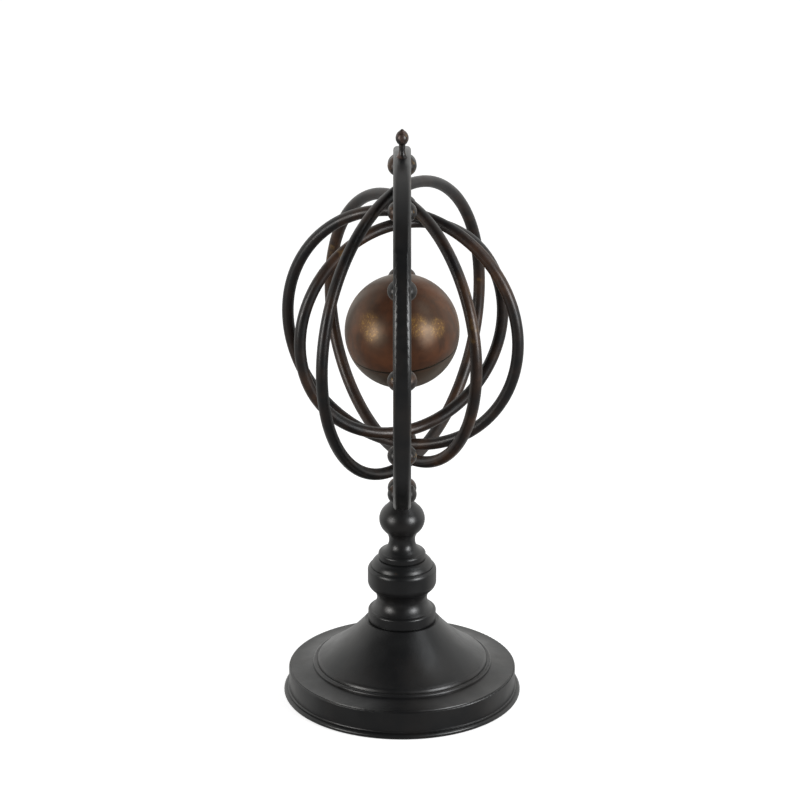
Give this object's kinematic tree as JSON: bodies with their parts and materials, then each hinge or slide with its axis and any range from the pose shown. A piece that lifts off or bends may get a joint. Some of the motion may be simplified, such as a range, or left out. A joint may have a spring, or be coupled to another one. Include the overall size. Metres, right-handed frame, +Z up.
{
  "type": "armillary sphere",
  "caption": "Decorative armillary sphere: meridian ring with domed studs holding nested hoops and a ball on one vertical axis, on a turned stem and bell-shaped round base.",
  "frame": {"origin": "on the floor, at the middle of the round base", "axes": "+Z up along the stem and the axis rod; the meridian ring stands in the YZ plane; -Y is the side seen edge-on in the picture, with +X to its right"},
  "size_m": [0.2038, 0.3066, 0.514],
  "materials": {
    "stand_black": "satin black enamel",
    "ring_black": "glossy oil-rubbed black",
    "hoop_bronze": "oil-rubbed bronze, rubbed brown in patches",
    "stud_gunmetal": "dark gunmetal, slightly browned",
    "ball_copper": "antique copper, mottled brown",
    "bush_brass": "aged brass",
    "fixing_steel": "zinc-plated",
    "weight_iron": "as cast",
    "felt": "dark green felt"
  },
  "bodies": {
    "stand": {"base_shell": "stand_black", "base_weight": "weight_iron", "bottom_plate": "fixing_steel", "felt_pad": "felt", "tie_rod": "fixing_steel", "tie_nut": "fixing_steel", "tie_washer": "fixing_steel", "stem_collar": "stand_black", "stem_barrel": "stand_black", "stem_neck": "stand_black", "stem_ball": "stand_black", "ring_saddle": "stand_black", "outer_ring": "ring_black", "studs_left": "stud_gunmetal", "studs_right": "stud_gunmetal", "axis_rod": "ring_black", "lower_sleeve": "ring_black", "upper_sleeve": "ring_black", "finial": "stud_gunmetal"},
    "first_hoop": {"hoop_1": "hoop_bronze", "hoop_1_bushes": "bush_brass"},
    "second_hoop": {"hoop_2": "hoop_bronze", "hoop_2_bushes": "bush_brass"},
    "third_hoop": {"hoop_3": "hoop_bronze", "hoop_3_bushes": "bush_brass"},
    "fourth_hoop": {"hoop_4": "hoop_bronze", "hoop_4_bushes": "bush_brass"},
    "ball": {"ball_upper": "ball_copper", "ball_lower": "ball_copper", "ball_bushes": "bush_brass"}
  },
  "joints": [
    {"name": "hoop_1_spin", "type": "hinge", "parent": "stand", "child": "first_hoop", "pos_m": [0, 0, 0.336], "axis": [0, 0, 1], "continuous": true},
    {"name": "hoop_2_spin", "type": "hinge", "parent": "stand", "child": "second_hoop", "pos_m": [0, 0, 0.336], "axis": [0, 0, 1], "continuous": true},
    {"name": "hoop_3_spin", "type": "hinge", "parent": "stand", "child": "third_hoop", "pos_m": [0, 0, 0.336], "axis": [0, 0, 1], "continuous": true},
    {"name": "hoop_4_spin", "type": "hinge", "parent": "stand", "child": "fourth_hoop", "pos_m": [0, 0, 0.336], "axis": [0, 0, 1], "continuous": true},
    {"name": "ball_spin", "type": "hinge", "parent": "stand", "child": "ball", "pos_m": [0, 0, 0.3334], "axis": [0, 0, 1], "continuous": true}
  ]
}
